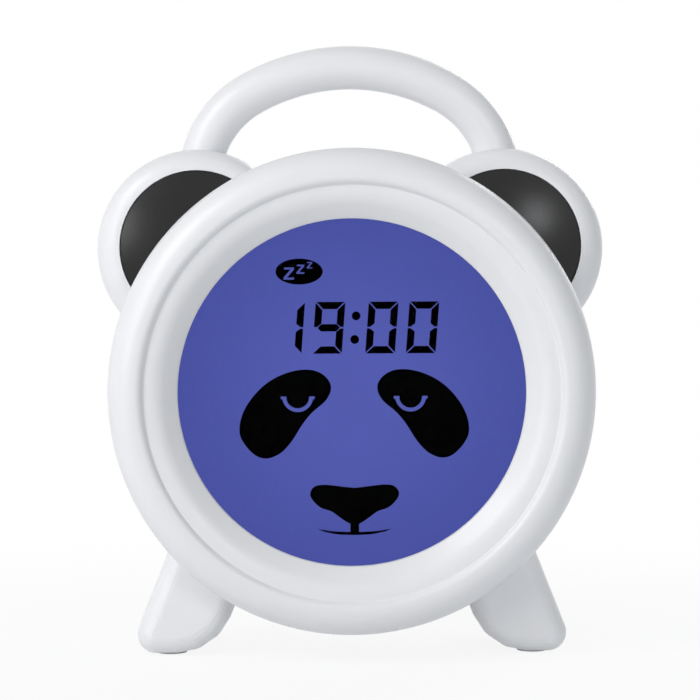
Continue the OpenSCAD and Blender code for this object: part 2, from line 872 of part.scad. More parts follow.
module rear_housing() {
    color(shell_white) difference() {
        union() {
            difference() {
                union() {
                    turned() rear_drum_section();
                    ears(f_back, f_part);
                }
                turned() intersection() {
                    rear_drum_section(wall);
                    span(0, drum_r, f_panel, f_part + 1);
                }
                rod([0, 0], f_part - 1, f_part + 1, drum_in);
                ear_hollows(f_back, f_part + 1);
            }
            // battery bay
            plate(f_panel - 0.5, f_bay_floor + bay_wall) bay_outline(bay_wall);
            // screw tubes and posts
            for (i = [0, 1]) {
                rod([side_of(i) * low_screw[0], low_screw[1]], f_back + 3, f_part, boss_r + 1.4);
                rod([side_of(i) * handle_w, leg_screw_z], f_ear_back + 1, f_part - bar_r + 1.5,
                    boss_r + 1.4);
            }
            for (p = key_board_screws_at) rod(p, f_panel - 0.5, f_key_board, boss_r);
            for (p = clamp_screws_at) rod(p, f_panel - 0.5, f_clamp, boss_r);
            rod([0, tab_z], f_panel - 0.5, f_panel + door_screw_l + 3, door_boss_r);
        }
        rod([0, 0], f_back - 1, f_floor, recess_r);
        // groove for the front half's tongue
        turned() span(drum_in - 0.01, drum_in + wall / 2, f_part - tongue_l - 0.1, f_part + 1);
        leg_bores();
        plate(f_panel - 0.01, f_bay_floor) bay_outline();
        plate(f_back, f_panel) door_outline(0);
        // windows in the bay's lower wall for the door's hooks
        for (i = [0, 1]) {
            x = side_of(i) * hook_x;
            block(x - hook_w / 2 - 0.4, x + hook_w / 2 + 0.4, bay_bottom - bay_wall - 0.1,
                  bay_bottom + 0.1, f_panel, f_panel + hook_l + hook_t + 1.2);
        }
        rod([0, tab_z], f_back, f_panel + door_screw_l + 0.6, screw_r + 0.35);
        rod([0, tab_z], f_panel + nut_in, f_panel + nut_in + nut_t + 0.1, nut_r + 0.05);
        for (i = [0, 1]) {
            x = side_of(i);
            rod([x * low_screw[0], low_screw[1]], f_back - 1, seat, head_r + 0.3);
            rod([x * low_screw[0], low_screw[1]], seat - 1, f_part + 1, clear_r);
            rod([x * handle_w, leg_screw_z], f_back - 1, seat, head_r + 0.3);
            rod([x * handle_w, leg_screw_z], seat - 1, f_part + 1, clear_r);
        }
        for (p = key_board_screws_at) rod(p, f_panel + 1.5, f_key_board + 1, pilot_r);
        for (p = clamp_screws_at) rod(p, f_panel + 1, f_clamp + 1, pilot_r);
        grille_holes();
        key_holes();
        knob_slot();
        usb_window();
    }
}

nut_r = 2.3;
nut_t = 3;
nut_in = 1.5;

module knob_slot() {
    block(knob_at[0] - (knob_l + knob_travel) / 2 - 0.3, knob_at[0] + (knob_l + knob_travel) / 2 + 0.3,
          knob_at[1] - knob_w / 2 - 0.25, knob_at[1] + knob_w / 2 + 0.25, f_back, f_panel + 0.5);
}

module usb_window() {
    block(usb_at[0] - usb_w / 2 - 0.25, usb_at[0] + usb_w / 2 + 0.25,
          usb_at[1] - usb_h / 2 - 0.25, usb_at[1] + usb_h / 2 + 0.25, f_back, f_panel + 2);
}

module ring_screws() {
    color(steel) for (a = ring_screw_angles)
        screw(on_circle(ring_screw_r, a), f_web, ring_screw_l - 1);
}

module housing_screws() {
    color(steel) for (i = [0, 1]) {
        screw([side_of(i) * low_screw[0], low_screw[1]], seat, housing_screw_l);
        screw([side_of(i) * handle_w, leg_screw_z], seat, housing_screw_l);
    }
}

// --- feet ------------------------------------------------------------------------------------

// A foot's outer shape, shrunk by g
module foot_blank(g = 0) {
    hull() for (p = foot_line, f = [f_foot - foot_edge, f_heel + foot_edge])
        translate([p[0], -f, sole_z + p[1]]) sphere(r = foot_edge - g, $fn = g > 0 ? 20 : 32);
}

// Upwards along its children is outwards along the screws of the right foot, at depth f
module spoke(f) {
    translate([0, -f, body_z]) rotate([0, 90 + foot_screw_angle, 0]) children();
}

module drum_solid() {
    turned() {
        rear_drum_section();
        span(0, drum_r, f_part - 1, f_seam);
    }
}

// The pads' places under the right foot
module pad_places() {
    for (f = [f_foot - pad_in, f_heel + pad_in]) translate([pad_x, -f, 0]) children();
}

// A shell that is open towards the drum on which it is seated
module right_foot() {
    color(shell_white) difference() {
        foot_blank();
        difference() {
            foot_blank(foot_wall);
            for (f = foot_screw_f) spoke(f) cylinder(h = foot_boss_end, r = boss_r);
        }
        drum_solid();
        for (f = foot_screw_f) spoke(f) cylinder(h = foot_screw_seat + foot_screw_l + 1, r = pilot_r);
        pad_places() translate([0, 0, -1]) cylinder(h = pad_t + 1, r = pad_r + fit_gap / 2);
    }
}

module left_foot() {
    mirror([1, 0, 0]) right_foot();
}

module foot_screws() {
    color(steel) both_sides() for (f = foot_screw_f)
        spoke(f) translate([0, 0, foot_screw_seat]) screw_solid(foot_screw_l);
}

module foot_pads() {
    color("gray") both_sides() pad_places() cylinder(h = pad_t, r = pad_r);
}

// --- handle and ear inlays --------------------------------------------------------------------

// The arched line of the bar, from the right leg's end over to the left one: X, height above
// the body's centre, and the angle of the outward normal
function bend(at, r, a0, a1, steps) = [
    for (i = [0 : steps])
        let (a = a0 + (a1 - a0) * i / steps)
        [at[0] + r * cos(a), at[1] + r * sin(a), a]
];

arch = concat(
    [[handle_w, leg_z, 0]],
    bend([handle_w - side_bend, shoulder_z], side_bend, 0, 90 - top_angle, 12),
    bend([0, shoulder_z + handle_rise - top_bend], top_bend, 90 - top_angle + 4, 86 + top_angle, 14),
    bend([side_bend - handle_w, shoulder_z], side_bend, 90 + top_angle, 180, 12),
    [[-handle_w, leg_z, 180]]
);

// Half of a tube's section: [outwards, towards the front]
function half_tube() = concat(
    [for (i = [0 : 12]) bar_r * [cos(15 * i), sin(15 * i)]],
    [for (i = [12 : -1 : 0]) (bar_r - handle_wall) * [cos(15 * i), sin(15 * i)]]
);

// A half shell of the arched handle, towards the front when dir is 1
module handle_half(dir) {
    section = half_tube();
    n = len(section);
    points = [
        for (p = arch, q = section)
            [p[0] + q[0] * cos(p[2]), -f_part - dir * q[1], body_z + p[1] + q[0] * sin(p[2])]
    ];
    sides = [
        for (i = [0 : len(arch) - 2], k = [0 : n - 1])
            let (a = i * n, b = a + n, m = (k + 1) % n)
            each [[a + k, a + m, b + k], [a + m, b + m, b + k]]
    ];
    last = (len(arch) - 1) * n;
    ends = [
        for (k = [0 : n / 2 - 2])
            each [[n - 1 - k, n - 2 - k, k + 1], [n - 1 - k, k + 1, k],
                  [last + k, last + k + 1, last + n - 2 - k],
                  [last + k, last + n - 2 - k, last + n - 1 - k]]
    ];
    faces = [for (f = concat(sides, ends)) dir == 1 ? f : [for (k = [len(f) - 1 : -1 : 0]) f[k]]];
    f_post = dir == 1 ? f_part : f_part - bar_r + 0.9;
    difference() {
        union() {
            polyhedron(points = points, faces = faces, convexity = 8);
            for (i = [0, 1]) {
                x = side_of(i) * handle_w;
                translate([x, -f_part, body_z + leg_z]) linear_extrude(handle_wall)
                    intersection() {
                        circle(bar_r - handle_wall / 2);
                        span(-bar_r, bar_r, dir == 1 ? -bar_r : 0, dir == 1 ? 0 : bar_r);
                    }
                rod([x, leg_screw_z], f_post, f_post + bar_r - 0.9, clear_r + 1.1);
            }
        }
        for (i = [0, 1]) rod([side_of(i) * handle_w, leg_screw_z], f_back, f_front, clear_r);
    }
}

module handle_front() {
    color(shell_white) handle_half(1);
}

module handle_rear() {
    color(shell_white) handle_half(-1);
}

dome_r = (inlay_r * inlay_r + inlay_rise * inlay_rise) / (2 * inlay_rise);

module ear_inlay(side) {
    color(ink) {
        difference() {
            intersection() {
                rod([side * ear_x, inlay_z], f_inlay_floor, f_front, inlay_r);
                translate([side * ear_x, -(f_inlay + inlay_rise - dome_r), body_z + inlay_z])
                    sphere(r = dome_r, $fn = 200);
            }
            rod([0, 0], f_part, f_front + 1, drum_r + fit_gap);
        }
        rod([side * inlay_pin[0], inlay_pin[1]], f_inlay_floor - wall - 0.6, f_inlay_floor + 0.5,
            inlay_pin_r);
    }
}

module left_ear_inlay() {
    ear_inlay(-1);
}

module right_ear_inlay() {
    ear_inlay(1);
}

// --- main board --------------------------------------------------------------------------------

module main_board() {
    color(board_green) difference() {
        union() {
            rod([0, 0], f_board, f_board + board_t, board_r);
            for (a = board_screw_angles)
                rod(on_circle(standoff_r, a), f_board, f_board + board_t, boss_r + 0.8);
            for (a = board_screw_angles) plate(f_board, f_board + board_t)
                rotate(a) span(board_r - 6, standoff_r, -boss_r - 0.8, boss_r + 0.8);
        }
        for (a = board_screw_angles)
            rod(on_circle(standoff_r, a), f_board - 1, f_board + board_t + 1, clear_r);
    }
}

module main_board_parts() {
    top = f_board + board_t;
    color([0.12, 0.12, 0.13]) {
        block(-7, 7, -7, 7, top, top + 1.6);
        block(16, 24, 10, 15, top, top + 1.6);
        block(-26, -21, -14, -4, top, top + 2.2);
    }
    color(steel) block(12, 23, -16, -11.5, top, top + 3.5);
    color("navy") for (x = [-30, 30]) rod([x, 22], top, top + 6.5, 3.2);
    color("ivory") {
        block(-13, 13, -board_r + 1.6, -board_r + 5.6, top, top + 3);
        block(-6, 6, 36, 40, top, top + 3.5);
        block(30, 36, -22, -14, top, top + 3.5);
    }
}

module main_board_screws() {
    color(steel) for (a = board_screw_angles)
        screw(on_circle(standoff_r, a), f_board, board_screw_l);
}

// A flat cable as a strip that turns square corners, through points [-f, z]
module fold(p, t) {
    for (i = [0 : len(p) - 2])
        span(min(p[i][0], p[i + 1][0]), max(p[i][0], p[i + 1][0]) + t,
             min(p[i][1], p[i + 1][1]), max(p[i][1], p[i + 1][1]) + t);
}

module ribbon(x0, x1, p) {
    translate([x0, 0, body_z]) rotate([90, 0, 90]) linear_extrude(x1 - x0) fold(p, ribbon_t);
}

// From the ledge of the rear glass, down behind it and to the back, to the main board
module lcd_ribbon() {
    bond = -f_cell_back - ribbon_t;
    plug = -f_board - board_t - 3 - ribbon_t;
    color("darkorange") ribbon(-ribbon_w / 2, ribbon_w / 2,
        [[bond, -glass_in - ledge_drop + 1.8], [bond, ribbon_z], [plug, ribbon_z],
         [plug, -board_r + 3.6]]);
}

// Clearance of a lead's end from the flat face that it is soldered to
lead_gap = 0.15;

module light_leads() {
    top = f_board + board_t + 2;
    for (i = [0, 1]) color(i == 0 ? "red" : "black") wire([for (p = smooth([
        [-1 + 2 * i, -30, f_light_board + board_t], [-1 + 2 * i, -30, f_cup - 1.2],
        [2 + 3 * i, -27, top + 1.8], [14 + 3 * i, -22, top + 1], [26, -15.5 - 2 * i, top],
        [29, -15.5 - 2 * i, top], [29.95, -15.5 - 2 * i, top]]))
        at_f(p)], 0.5);
}

// --- keys, lock switch and charging socket ---------------------------------------------------

module key_board_outline() {
    intersection() {
        circle(recess_r - 3);
        difference() {
            polygon([[-4, 36], [-4, 50], [50, 50], [50, -7], [33, -7], [33, 10.5], [5.6, 10.5]]);
            translate(speaker_at) circle(speaker_r + 2.6);
            translate([0, tab_z]) circle(door_boss_r + 0.5);
        }
    }
}

module key_board() {
    color(board_green) difference() {
        plate(f_key_board, f_key_board + board_t) key_board_outline();
        for (p = key_board_screws_at)
            rod(p, f_key_board - 1, f_key_board + board_t + 1, clear_r);
    }
}

module key_board_screws() {
    color(steel) for (p = key_board_screws_at)
        screw(p, f_key_board + board_t, f_key_board - f_panel - 3, -1);
}

module key_ribbon() {
    from_board = -f_key_board - board_t - ribbon_t;
    to_board = -f_board;
    color("darkorange") ribbon(22, 30, [[from_board, 33], [from_board, 40], [to_board, 40],
                                         [to_board, 33]]);
}

module tact_switches() {
    color([0.15, 0.15, 0.16]) for (k = key_places) difference() {
        at = keys_at + k;
        block(at[0] - tact_w / 2, at[0] + tact_w / 2, at[1] - tact_w / 2, at[1] + tact_w / 2,
              f_tact, f_key_board);
        rod(at, f_tact - 1, f_tact + 1.6, plunger_r + 0.15);
    }
}

// A key cap with its flange and stem, less the sign cut into its face
module key(k) {
    at = keys_at + k;
    face = f_floor - key_out;
    color(key_grey) difference() {
        union() {
            rod(at, face + 0.6, f_key_flange + 0.01, key_r);
            rod(at, face, face + 0.61, key_r - 0.4);
            rod(at, f_key_flange, f_stem, key_flange_r);
            rod(at, f_stem - 0.01, f_plunger, plunger_r);
        }
        plate(face - 0.1, face + 0.4) translate(at) children();
    }
}

module plunger(k) {
    color("ivory") rod(keys_at + k, f_plunger, f_plunger + plunger_l, plunger_r - 0.2);
}

sign_w = 0.6;

module bar_sign(length) {
    square([length, sign_w], center = true);
}

module moon_sign() {
    difference() {
        circle(2);
        translate([0.9, 0.6]) circle(1.7);
    }
}

module bell_sign() {
    intersection() {
        translate([0, 0.1]) circle(1.6);
        span(-3, 3, -0.8, 3);
    }
    translate([0, -1]) square([4, 0.5], center = true);
    translate([0, -1.5]) circle(0.45);
}

module clock_sign() {
    difference() {
        circle(2.1);
        circle(1.6);
    }
    span(-0.25, 0.25, -0.25, 1.3);
    span(-0.25, 1, -0.25, 0.25);
}

module light_key() {
    key(key_places[0]) moon_sign();
}

module plus_key() {
    key(key_places[1]) {
        bar_sign(3);
        rotate(90) bar_sign(3);
    }
}

module minus_key() {
    key(key_places[2]) bar_sign(3);
}

module alarm_key() {
    key(key_places[3]) bell_sign();
}

module clock_key() {
    key(key_places[4]) clock_sign();
}

module light_plunger() {
    plunger(key_places[0]);
}

module plus_plunger() {
    plunger(key_places[1]);
}

module minus_plunger() {
    plunger(key_places[2]);
}

module alarm_plunger() {
    plunger(key_places[3]);
}

module clock_plunger() {
    plunger(key_places[4]);
}

f_switch = f_panel + 1.2;
slider_w = 1.4;

module lock_switch() {
    x = knob_at[0];
    z = knob_at[1];
    color(steel) difference() {
        block(x - switch_l / 2, x + switch_l / 2, z - switch_w / 2, z + switch_w / 2, f_switch,
              f_key_board);
        block(x - (slider_w + knob_travel) / 2 - 0.3, x + (slider_w + knob_travel) / 2 + 0.3,
              z - slider_w / 2 - 0.15, z + slider_w / 2 + 0.15, f_switch - 1, f_switch + 2);
    }
}

// The knob rests at the left end of its slot, as seen from the front
module lock_knob() {
    x = knob_at[0] - knob_travel / 2;
    z = knob_at[1];
    color(key_grey) {
        difference() {
            block(x - knob_l / 2, x + knob_l / 2, z - knob_w / 2, z + knob_w / 2,
                  f_floor - key_out + 0.3, f_panel + 0.6);
            for (i = [-1 : 1])
                block(x + i * 1.2 - 0.25, x + i * 1.2 + 0.25, z - knob_w, z + knob_w,
                      f_floor - key_out, f_floor - key_out + 0.6);
        }
        block(x - slider_w / 2, x + slider_w / 2, z - slider_w / 2, z + slider_w / 2,
              f_panel + 0.5, f_switch + 1.6);
    }
}

module usb_socket() {
    x = usb_at[0];
    z = usb_at[1];
    color(steel) {
        difference() {
            block(x - usb_w / 2, x + usb_w / 2, z - usb_h / 2, z + usb_h / 2, f_floor + 0.6,
                  f_key_board);
            block(x - usb_w / 2 + 0.35, x + usb_w / 2 - 0.35, z - usb_h / 2 + 0.35,
                  z + usb_h / 2 - 0.35, f_back, f_key_board - 1);
        }
        block(x - 0.35, x + 0.35, z - usb_h / 2 + 1.4, z + usb_h / 2 - 1.4, f_floor + 1.4,
              f_key_board - 0.5);
    }
}

// --- speaker ------------------------------------------------------------------------------------

module speaker_dust_cloth() {
    color([0.2, 0.2, 0.2]) rod(speaker_at, f_panel, f_frame_back, speaker_r - 0.5);
}

module speaker_frame() {
    color(steel) turned(speaker_at)
        polygon([[speaker_r - 2.5, f_frame_back], [speaker_r, f_frame_back],
                 [speaker_r, f_frame_back + 1.8], [magnet_r + 2, f_clamp - 2],
                 [magnet_r + 2, f_clamp], [magnet_r - 2.5, f_clamp],
                 [magnet_r - 2.5, f_clamp - 1], [magnet_r + 1, f_clamp - 1],
                 [magnet_r + 1, f_clamp - 2.2], [speaker_r - 2.5, f_frame_back + 1.4]]);
}

module speaker_cone() {
    color([0.1, 0.1, 0.1]) turned(speaker_at)
        polygon([[0, f_frame_back + 2.6], [3, f_frame_back + 2.6], [speaker_r - 4, f_frame_back + 0.8],
                 [speaker_r - 2.6, f_frame_back + 0.2], [speaker_r - 2.6, f_frame_back + 0.6],
                 [speaker_r - 4, f_frame_back + 1.2], [3, f_frame_back + 3], [0, f_frame_back + 3]]);
}

module speaker_magnet() {
    color([0.3, 0.3, 0.32]) rod(speaker_at, f_clamp, f_clamp + magnet_t, magnet_r);
}

// A two-armed plate that presses the speaker against the panel
module speaker_clamp() {
    arm = clamp_screws_at[1] - clamp_screws_at[0];
    color("ivory") difference() {
        plate(f_clamp, f_clamp + clamp_t) difference() {
            union() {
                translate(speaker_at) circle(magnet_r + 2);
                for (p = clamp_screws_at) translate(p) circle(boss_r + 0.4);
                translate(clamp_screws_at[0]) rotate(atan2(arm[1], arm[0]))
                    span(0, norm(arm), -boss_r, boss_r);
            }
            translate(speaker_at) circle(magnet_r + fit_gap);
        }
        for (p = clamp_screws_at) rod(p, f_clamp - 1, f_clamp + 5, clear_r);
    }
}

module speaker_screws() {
    color(steel) for (p = clamp_screws_at) screw(p, f_clamp + clamp_t, 6, -1);
}

module speaker_leads() {
    f0 = f_clamp + magnet_t;
    for (i = [0, 1]) color(i == 0 ? "red" : "black") wire([for (p = smooth([
        [-25 + 3 * i, 21, f0 + lead_gap], [-25 + 3 * i, 21, f0 + 1],
        [-25.5 + 3 * i, 22, f0 + 3], [-30 + 3 * i, 32, -9],
        [-27 + 2 * i, 41 + i, -6], [-21 + i, 44.5 + 2 * i, -0.5], [-12, 41 + 2 * i, -0.5],
        [-8, 37 + 2 * i, f_board + board_t + 2], [-6.05, 37 + 2 * i, f_board + board_t + 2]]))
        at_f(p)], 0.5);
}

// --- power ------------------------------------------------------------------------------------

cell_places = [for (i = [0 : cells - 1]) bay_bottom + 0.25 + cell_pitch * (i + 0.5)];
spring_l = bay_l - cell_l - 2 * contact_t;
button_r = 2.6;
button_l = 1.2;

// Cells alternate. way is 1 when the button points to +X.
function cell_way(i) = i % 2 == 0 ? 1 : -1;

module cell(i) {
    way = cell_way(i);
    x0 = way * (bay_l / 2 - contact_t);
    translate([x0, -f_cells, body_z + cell_places[i]]) rotate([0, -90 * way, 0]) {
        cylinder(h = button_l + 0.01, r = button_r);
        translate([0, 0, button_l]) cylinder(h = cell_l - button_l, r = cell_d / 2);
    }
}

module batteries() {
    color([0.15, 0.35, 0.6]) for (i = [0 : cells - 1]) cell(i);
}

spring_turns = 4;
spring_wire = 0.35;

module contact_springs() {
    color(steel) for (i = [0 : cells - 1]) {
        way = cell_way(i);
        x0 = -way * (bay_l / 2 - contact_t - spring_wire);
        reach = spring_l - 2 * spring_wire;
        wire([for (k = [0 : 12 * spring_turns])
            let (t = k / (12 * spring_turns), r = 4.2 - 1.6 * t, a = 30 * k)
            [x0 + way * reach * t, -f_cells + r * cos(a), body_z + cell_places[i] + r * sin(a)]],
            spring_wire, 6, [1, 0.02, 0.01]);
    }
}

module contact_plates() {
    color(steel) for (i = [0 : cells - 1], end = [-1, 1]) {
        x = end * (bay_l / 2 - contact_t / 2);
        block(x - contact_t / 2, x + contact_t / 2, cell_places[i] - 5, cell_places[i] + 5,
              f_cells - 5, f_bay_floor);
    }
}

module battery_leads() {
    f0 = f_bay_floor + bay_wall;
    for (i = [0, 1]) color(i == 0 ? "red" : "black") wire([for (p = smooth([
        [bay_l / 2 - 4, -14 - 14 * i, f0 + lead_gap], [bay_l / 2 - 4, -14 - 14 * i, f0 + 1.1],
        [bay_l / 2 - 2, -14 - 13 * i, f0 + 2.2], [bay_l / 2 + 8, -16 - 9 * i, f0 + 1.6],
        [47.2, -19 - 2 * i, f_board],
        [45, -18 - 2 * i, 1], [39, -17 - 2 * i, f_board + board_t + 2],
        [37, -17 - 2 * i, f_board + board_t + 2], [36.05, -17 - 2 * i, f_board + board_t + 2]]))
        at_f(p)], 0.6);
}

// --- battery door -------------------------------------------------------------------------------

module door_blank() {
    difference() {
        plate(f_floor, f_panel) door_outline(-door_gap);
        block(-bay_l, bay_l, bay_bottom - 1, bay_bottom + door_gap, f_floor - 1, f_panel + 1);
    }
}

module battery_door() {
    color(shell_white) difference() {
        union() {
            door_blank();
            for (i = [0, 1]) {
                x = side_of(i) * hook_x;
                block(x - hook_w / 2, x + hook_w / 2, bay_bottom - hook_l + 1.2, bay_bottom + 3,
                      f_panel + 0.15, f_panel + hook_t);
                block(x - hook_w / 2, x + hook_w / 2, bay_bottom + 1, bay_bottom + 3,
                      f_panel - 0.1, f_panel + 0.2);
            }
        }
        rod([0, tab_z], f_floor - 1, f_floor + 1.1, head_r + 0.3);
        rod([0, tab_z], f_floor - 1, f_panel + 1, screw_r + 0.2);
        // the rows of grip lines
        for (i = [0 : 3])
            block(-9, 9, bay_top - 8 - i * 2.2, bay_top - 7.2 - i * 2.2, f_floor - 1, f_floor + 0.5);
    }
}

module battery_door_screw() {
    color(steel) screw([0, tab_z], f_floor + 1.1, door_screw_l);
}

module door_nut() {
    color("goldenrod") difference() {
        rod([0, tab_z], f_panel + nut_in + 0.05, f_panel + nut_in + nut_t, nut_r);
        rod([0, tab_z], f_panel, f_panel + nut_in + nut_t + 1, screw_r + 0.3);
    }
}

front_ring();
lens();
lens_gasket();
lcd_front_glass();
lcd_segments();
lcd_rear_glass();
diffuser();
light_box();
light_board();
night_light_leds();
light_box_screws();
front_housing();
ring_screws();
rear_housing();
housing_screws();
handle_front();
handle_rear();
left_ear_inlay();
right_ear_inlay();
left_foot();
right_foot();
foot_screws();
foot_pads();
main_board();
main_board_parts();
main_board_screws();
lcd_ribbon();
light_leads();
key_board();
key_board_screws();
key_ribbon();
tact_switches();
light_key();
light_plunger();
plus_key();
plus_plunger();
minus_key();
minus_plunger();
alarm_key();
alarm_plunger();
clock_key();
clock_plunger();
lock_switch();
lock_knob();
usb_socket();
speaker_frame();
speaker_cone();
speaker_magnet();
speaker_dust_cloth();
speaker_clamp();
speaker_screws();
speaker_leads();
batteries();
contact_springs();
contact_plates();
battery_leads();
battery_door();
battery_door_screw();
door_nut();
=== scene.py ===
import math

import bmesh
import bpy
from mathutils import Matrix, Vector


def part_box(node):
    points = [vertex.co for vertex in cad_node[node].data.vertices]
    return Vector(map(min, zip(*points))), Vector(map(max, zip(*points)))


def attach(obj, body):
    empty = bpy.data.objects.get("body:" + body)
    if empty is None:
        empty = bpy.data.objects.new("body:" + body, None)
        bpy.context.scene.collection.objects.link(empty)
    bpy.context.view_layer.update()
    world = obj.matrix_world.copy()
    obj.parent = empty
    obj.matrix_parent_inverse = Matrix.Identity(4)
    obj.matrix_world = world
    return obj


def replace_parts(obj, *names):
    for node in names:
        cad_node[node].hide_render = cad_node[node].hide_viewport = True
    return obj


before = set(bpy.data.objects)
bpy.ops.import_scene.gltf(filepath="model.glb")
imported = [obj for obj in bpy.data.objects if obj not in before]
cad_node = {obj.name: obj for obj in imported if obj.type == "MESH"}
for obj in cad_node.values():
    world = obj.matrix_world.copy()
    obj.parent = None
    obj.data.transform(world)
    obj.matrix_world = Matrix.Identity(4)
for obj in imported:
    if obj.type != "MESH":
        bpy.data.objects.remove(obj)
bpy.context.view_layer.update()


# --- Camera ----------------------------------------------------------------------------------
# A long lens, a little to the left of the clock and above it. It is turned a hair about its own
# axis, as a hand-set tripod head is.
MM = 0.001
ring_low, ring_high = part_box("front_ring")
centre = (ring_low + ring_high) / 2
centre.x = 0
body_r = (ring_high.x - ring_low.x) / 2
front = -ring_low.y
camera_distance = 0.76
camera_turn = math.radians(-0.9)
camera_rise = math.radians(4.4)
camera_roll = math.radians(0.25)
face_setback = 6.5 * MM
aim_left = 0.5 * MM
aim_up = 11.2 * MM
face_middle = Vector((0, ring_low.y + face_setback, centre.z))
aim = face_middle + Vector((-aim_left, 0, aim_up))
sight = Vector((
    math.sin(camera_turn) * math.cos(camera_rise),
    -math.cos(camera_turn) * math.cos(camera_rise),
    math.sin(camera_rise),
))
lens_data = bpy.data.cameras.new("camera")
lens_data.lens = 149.35
lens_data.sensor_width = 36
lens_data.clip_start = 0.05
lens_data.clip_end = 60
camera = bpy.data.objects.new("camera", lens_data)
camera.location = face_middle + sight * camera_distance
camera.rotation_mode = "QUATERNION"
camera.rotation_quaternion = (
    (aim - camera.location).to_track_quat("-Z", "Y")
    @ Matrix.Rotation(-camera_roll, 3, "Z").to_quaternion()
)
bpy.context.scene.collection.objects.link(camera)
bpy.context.scene.camera = camera
bpy.context.scene.view_settings.view_transform = "Standard"


# --- Table and light -------------------------------------------------------------------------
# A pale table top that runs out to a white background, two large soft lamps from the left, high
# and low, a weaker one from the right and one for the back, over an even grey-white room.
def new_material(name):
    material = bpy.data.materials.new(name)
    material.use_nodes = True
    nodes = material.node_tree.nodes
    return material, nodes, material.node_tree.links, nodes["Principled BSDF"]


def reckon(tree, operation, *terms):
    """A maths node, of which each term is a number or the output of another node."""
    node = tree.nodes.new("ShaderNodeMath")
    node.operation = operation
    for place, term in zip(node.inputs, terms):
        if isinstance(term, (int, float)):
            place.default_value = term
        else:
            tree.links.new(term, place)
    return node.outputs[0]


def seen_directly(tree):
    """1 for rays from the camera, and for those that polished or clear pieces send on."""
    path = tree.nodes.new("ShaderNodeLightPath").outputs
    either = reckon(tree, "MAXIMUM", path["Is Camera Ray"], path["Is Glossy Ray"])
    return reckon(tree, "MAXIMUM", either, path["Is Transmission Ray"])


room_light = 0.36
world = bpy.data.worlds.new("room")
world.use_nodes = True
bpy.context.scene.world = world
world_nodes = world.node_tree.nodes
world_links = world.node_tree.links
room = world_nodes["Background"]
room.inputs["Color"].default_value = (0.94, 0.97, 1.0, 1)
room.inputs["Strength"].default_value = room_light
white_beyond = world_nodes.new("ShaderNodeBackground")
white_beyond.inputs["Color"].default_value = (1, 1, 1, 1)
white_beyond.inputs["Strength"].default_value = 1
world_mix = world_nodes.new("ShaderNodeMixShader")
world_links.new(seen_directly(world.node_tree), world_mix.inputs["Fac"])
world_links.new(room.outputs[0], world_mix.inputs[1])
world_links.new(white_beyond.outputs[0], world_mix.inputs[2])
world_links.new(world_mix.outputs[0], world_nodes["World Output"].inputs["Surface"])

table_paint, nodes, links, shader = new_material("table_paint")
shader.inputs["Base Color"].default_value = (0.86, 0.87, 0.88, 1)
shader.inputs["Roughness"].default_value = 0.7
table_white = nodes.new("ShaderNodeEmission")
table_white.inputs["Color"].default_value = (1, 1, 1, 1)
table_place = nodes.new("ShaderNodeTexCoord")
distance = nodes.new("ShaderNodeVectorMath")
distance.operation = "LENGTH"
links.new(table_place.outputs["Object"], distance.inputs[0])
bleach = nodes.new("ShaderNodeMapRange")
bleach.interpolation_type = "SMOOTHSTEP"
bleach.inputs["From Min"].default_value = 0.05
bleach.inputs["From Max"].default_value = 0.28
bleach.inputs["To Min"].default_value = 0.88
bleach.inputs["To Max"].default_value = 1
links.new(distance.outputs["Value"], bleach.inputs["Value"])
tree = table_paint.node_tree
whitening = reckon(tree, "MULTIPLY", seen_directly(tree), bleach.outputs["Result"])
table_mix = nodes.new("ShaderNodeMixShader")
links.new(whitening, table_mix.inputs["Fac"])
links.new(shader.outputs[0], table_mix.inputs[1])
links.new(table_white.outputs[0], table_mix.inputs[2])
links.new(table_mix.outputs[0], nodes["Material Output"].inputs["Surface"])
bm = bmesh.new()
bmesh.ops.create_grid(bm, x_segments=1, y_segments=1, size=12)
table_mesh = bpy.data.meshes.new("table")
bm.to_mesh(table_mesh)
bm.free()
table_mesh.materials.append(table_paint)
table = bpy.data.objects.new("table", table_mesh)
bpy.context.scene.collection.objects.link(table)


def soft_lamp(name, place, size, power, tint):
    data = bpy.data.lights.new(name, "AREA")
    data.shape = "DISK"
    data.size = size
    data.energy = power
    data.color = tint
    lamp = bpy.data.objects.new(name, data)
    lamp.location = place
    lamp.rotation_mode = "QUATERNION"
    lamp.rotation_quaternion = (centre - Vector(place)).to_track_quat("-Z", "Y")
    bpy.context.scene.collection.objects.link(lamp)


soft_lamp("main_lamp", (-1.0, -0.75, 0.95), 0.7, 8.2, (1, 0.99, 0.98))
soft_lamp("low_lamp", (-1.1, -1.1, 0.35), 0.6, 4.2, (1, 0.99, 0.98))
soft_lamp("side_lamp", (0.55, -1.4, 0.45), 0.36, 2.6, (0.96, 0.98, 1))
soft_lamp("back_lamp", (0.7, 1.3, 0.7), 0.8, 7, (1, 1, 1))


